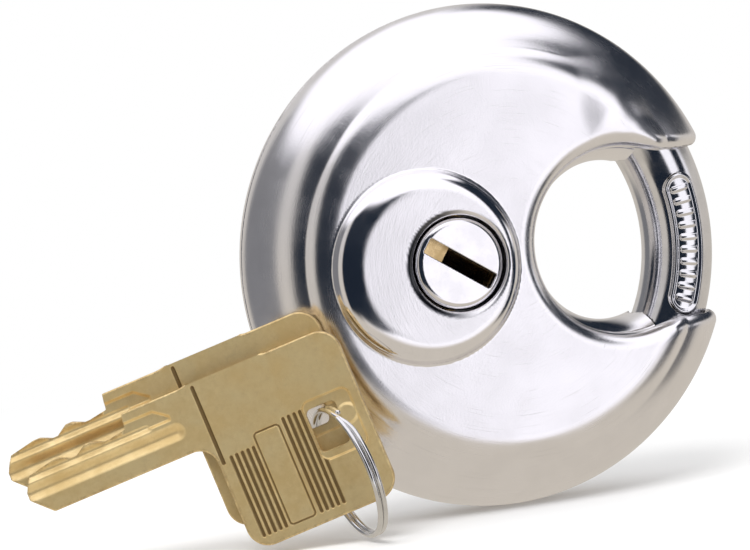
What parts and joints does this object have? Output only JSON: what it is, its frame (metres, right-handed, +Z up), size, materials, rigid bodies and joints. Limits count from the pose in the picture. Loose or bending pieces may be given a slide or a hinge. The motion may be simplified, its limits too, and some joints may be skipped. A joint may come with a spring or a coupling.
{
  "type": "disc padlock",
  "caption": "Round disc padlock with a shielded curved shackle across a D-shaped side opening, an off-centre raised keyway boss, and flat brass keys on a ring.",
  "frame": {"origin": "centre of the flat rear face of the round body", "axes": "+Y out of the rear face along the body's axis, keyway on the -Y side, +X through the middle of the opening, +Z up"},
  "size_m": [0.1029, 0.0362, 0.07],
  "materials": {
    "stainless_shell": "satin polished stainless steel",
    "polished_shackle": "polished hardened steel",
    "zinc_casting": "as-cast zinc, dull",
    "zinc_plated_steel": "zinc plated",
    "hard_steel": "hardened, oiled",
    "plug_brass": "machined brass",
    "key_brass": "worn stamped brass",
    "spring_steel": "drawn wire"
  },
  "bodies": {
    "lock_body": {"front_shell": "stainless_shell", "rear_shell": "stainless_shell", "opening_liner": "stainless_shell", "case_front": "zinc_casting", "case_rear": "zinc_casting", "case_screws": "zinc_plated_steel", "anti_drill_plate": "hard_steel", "cylinder_body": "plug_brass", "chamber_plugs": "plug_brass", "pin_springs": "spring_steel"},
    "shackle_unit": {"shackle": "polished_shackle", "drive_arm": "zinc_plated_steel", "arm_rivets": "zinc_plated_steel"},
    "plug_unit": {"plug": "plug_brass", "plug_cap": "polished_shackle", "plug_clip": "spring_steel", "drive_crank": "zinc_plated_steel", "crank_pin": "hard_steel", "crank_screws": "zinc_plated_steel"},
    "key_pin_1_body": {"key_pin_1": "plug_brass"},
    "key_pin_2_body": {"key_pin_2": "plug_brass"},
    "key_pin_3_body": {"key_pin_3": "plug_brass"},
    "key_pin_4_body": {"key_pin_4": "plug_brass"},
    "drivers": {"driver_pins": "plug_brass"},
    "ring": {"key_ring": "spring_steel"},
    "front_key": {"key_front": "key_brass"},
    "rear_key": {"key_rear": "key_brass"}
  },
  "joints": [
    {"name": "shackle_swing", "type": "hinge", "parent": "lock_body", "child": "shackle_unit", "pos_m": [0, -0.011, 0], "axis": [0, 1, 0], "range_deg": [0, 66]},
    {"name": "plug_turn", "type": "hinge", "parent": "lock_body", "child": "plug_unit", "pos_m": [-0.0077, -0.011, 0], "axis": [0, 1, 0], "range_deg": [0, 129.2]},
    {"name": "key_pin_1_slide", "type": "slide", "parent": "plug_unit", "child": "key_pin_1_body", "axis": [0.8192, 0, -0.5736], "range_m": [0, 0.0007]},
    {"name": "key_pin_2_slide", "type": "slide", "parent": "plug_unit", "child": "key_pin_2_body", "axis": [0.8192, 0, -0.5736], "range_m": [0, 0.0007]},
    {"name": "key_pin_3_slide", "type": "slide", "parent": "plug_unit", "child": "key_pin_3_body", "axis": [0.8192, 0, -0.5736], "range_m": [0, 0.0007]},
    {"name": "key_pin_4_slide", "type": "slide", "parent": "plug_unit", "child": "key_pin_4_body", "axis": [0.8192, 0, -0.5736], "range_m": [0, 0.0007]},
    {"name": "driver_slide", "type": "slide", "parent": "lock_body", "child": "drivers", "axis": [-0.8192, 0, 0.5736], "range_m": [0, 0.0006]},
    {"name": "key_ring_free", "type": "slide", "parent": "lock_body", "child": "ring", "axis": [-1, 0, 0], "range_m": [0, 0.02]},
    {"name": "front_key_swing", "type": "hinge", "parent": "ring", "child": "front_key", "pos_m": [-0.02971, -0.02328, -0.01736], "axis": [-0.2986, -0.9529, 0.0523], "range_deg": [-12, 6]},
    {"name": "rear_key_swing", "type": "hinge", "parent": "ring", "child": "rear_key", "pos_m": [-0.02971, -0.02328, -0.01736], "axis": [-0.2986, -0.9529, 0.0523], "range_deg": [-3, 6]}
  ],
  "couplings": [
    {"joint": "plug_turn", "follows": "shackle_swing", "ratio": 1.9576},
    {"joint": "key_pin_2_slide", "follows": "key_pin_1_slide", "ratio": 1},
    {"joint": "key_pin_3_slide", "follows": "key_pin_1_slide", "ratio": 1},
    {"joint": "key_pin_4_slide", "follows": "key_pin_1_slide", "ratio": 1}
  ]
}
